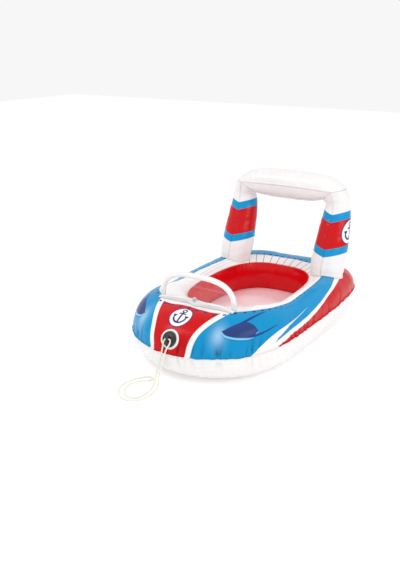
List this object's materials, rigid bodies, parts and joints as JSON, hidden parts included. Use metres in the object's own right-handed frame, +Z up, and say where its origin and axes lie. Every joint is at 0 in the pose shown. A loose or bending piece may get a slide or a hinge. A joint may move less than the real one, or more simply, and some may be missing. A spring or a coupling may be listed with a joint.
{
  "type": "child's inflatable ride-on boat",
  "caption": "Child's inflatable boat with an oval cockpit, a rear arch on two columns, a low windscreen, a bow tow disc and a looped tow rope.",
  "frame": {"origin": "on the surface the boat rests on, under the middle of the hull's length and width", "axes": "+Z up, -Y towards the bow, +X to the port side"},
  "size_m": [0.605, 1.1781, 0.5505],
  "materials": {
    "hull_print": "glossy printed vinyl film",
    "arch_print": "glossy printed vinyl film",
    "white_film": "glossy white vinyl film",
    "red_film": "glossy red vinyl film",
    "pink_film": "glossy pale pink vinyl film",
    "clear_film": "clear vinyl film",
    "milky_film": "milky vinyl film",
    "black_vinyl": "satin moulded vinyl",
    "clear_vinyl": "soft clear moulded vinyl",
    "rope": "braided white cord"
  },
  "bodies": {
    "root": {"hull_top_skin": "hull_print", "hull_bottom_skin": "white_film", "cockpit_wall": "red_film", "floor_sheet": "pink_film", "port_column_outer_panel": "arch_print", "port_column_inner_panel": "arch_print", "port_column_foot": "white_film", "starboard_column_outer_panel": "arch_print", "starboard_column_inner_panel": "arch_print", "starboard_column_foot": "white_film", "crossbar_top_panel": "white_film", "crossbar_bottom_panel": "white_film", "windscreen_base_bar": "milky_film", "tow_disc": "black_vinyl", "tow_rope": "rope", "hull_valve_base": "clear_vinyl", "arch_valve_base": "clear_vinyl", "screen_valve_base": "clear_vinyl"},
    "windscreen": {"windscreen_pane": "clear_film", "windscreen_rim_front": "white_film", "windscreen_rim_back": "white_film"},
    "hull_valve_stem": {"hull_valve_stem": "clear_vinyl"},
    "hull_valve_plug": {"hull_valve_plug": "clear_vinyl"},
    "hull_valve_flap": {"hull_valve_flap": "clear_vinyl"},
    "arch_valve_stem": {"arch_valve_stem": "clear_vinyl"},
    "arch_valve_plug": {"arch_valve_plug": "clear_vinyl"},
    "arch_valve_flap": {"arch_valve_flap": "clear_vinyl"},
    "screen_valve_stem": {"screen_valve_stem": "clear_vinyl"},
    "screen_valve_plug": {"screen_valve_plug": "clear_vinyl"},
    "screen_valve_flap": {"screen_valve_flap": "clear_vinyl"}
  },
  "joints": [
    {"name": "windscreen_fold", "type": "hinge", "parent": "root", "child": "windscreen", "pos_m": [0, -0.328, 0.2214], "axis": [1, 0, 0], "range_deg": [-65, 20], "stiffness_Nm_per_rad": 0.3},
    {"name": "hull_valve_pull", "type": "slide", "parent": "root", "child": "hull_valve_stem", "axis": [0, 0.867, 0.4983], "range_m": [0, 0.008]},
    {"name": "hull_plug_open", "type": "hinge", "parent": "hull_valve_stem", "child": "hull_valve_plug", "pos_m": [0.0088, 0.49437, 0.1536], "axis": [0, 0.4983, -0.867], "range_deg": [0, 150]},
    {"name": "hull_flap_open", "type": "hinge", "parent": "hull_valve_stem", "child": "hull_valve_flap", "pos_m": [0.0046, 0.48284, 0.14698], "axis": [0, -0.4983, 0.867], "range_deg": [0, 40]},
    {"name": "arch_valve_pull", "type": "slide", "parent": "root", "child": "arch_valve_stem", "axis": [-1, 0, 0], "range_m": [0, 0.008]},
    {"name": "arch_plug_open", "type": "hinge", "parent": "arch_valve_stem", "child": "arch_valve_plug", "pos_m": [-0.27251, 0.3093, 0.232], "axis": [0, 0, -1], "range_deg": [0, 150]},
    {"name": "arch_flap_open", "type": "hinge", "parent": "arch_valve_stem", "child": "arch_valve_flap", "pos_m": [-0.25921, 0.3051, 0.232], "axis": [0, 0, 1], "range_deg": [0, 40]},
    {"name": "screen_valve_pull", "type": "slide", "parent": "root", "child": "screen_valve_stem", "axis": [0, -0.2496, 0.9684], "range_m": [0, 0.008]},
    {"name": "screen_plug_open", "type": "hinge", "parent": "screen_valve_stem", "child": "screen_valve_plug", "pos_m": [0.0088, -0.34744, 0.24044], "axis": [0, 0.9684, 0.2496], "range_deg": [0, 150]},
    {"name": "screen_flap_open", "type": "hinge", "parent": "screen_valve_stem", "child": "screen_valve_flap", "pos_m": [0.0046, -0.34412, 0.22756], "axis": [0, -0.9684, -0.2496], "range_deg": [0, 25]}
  ]
}
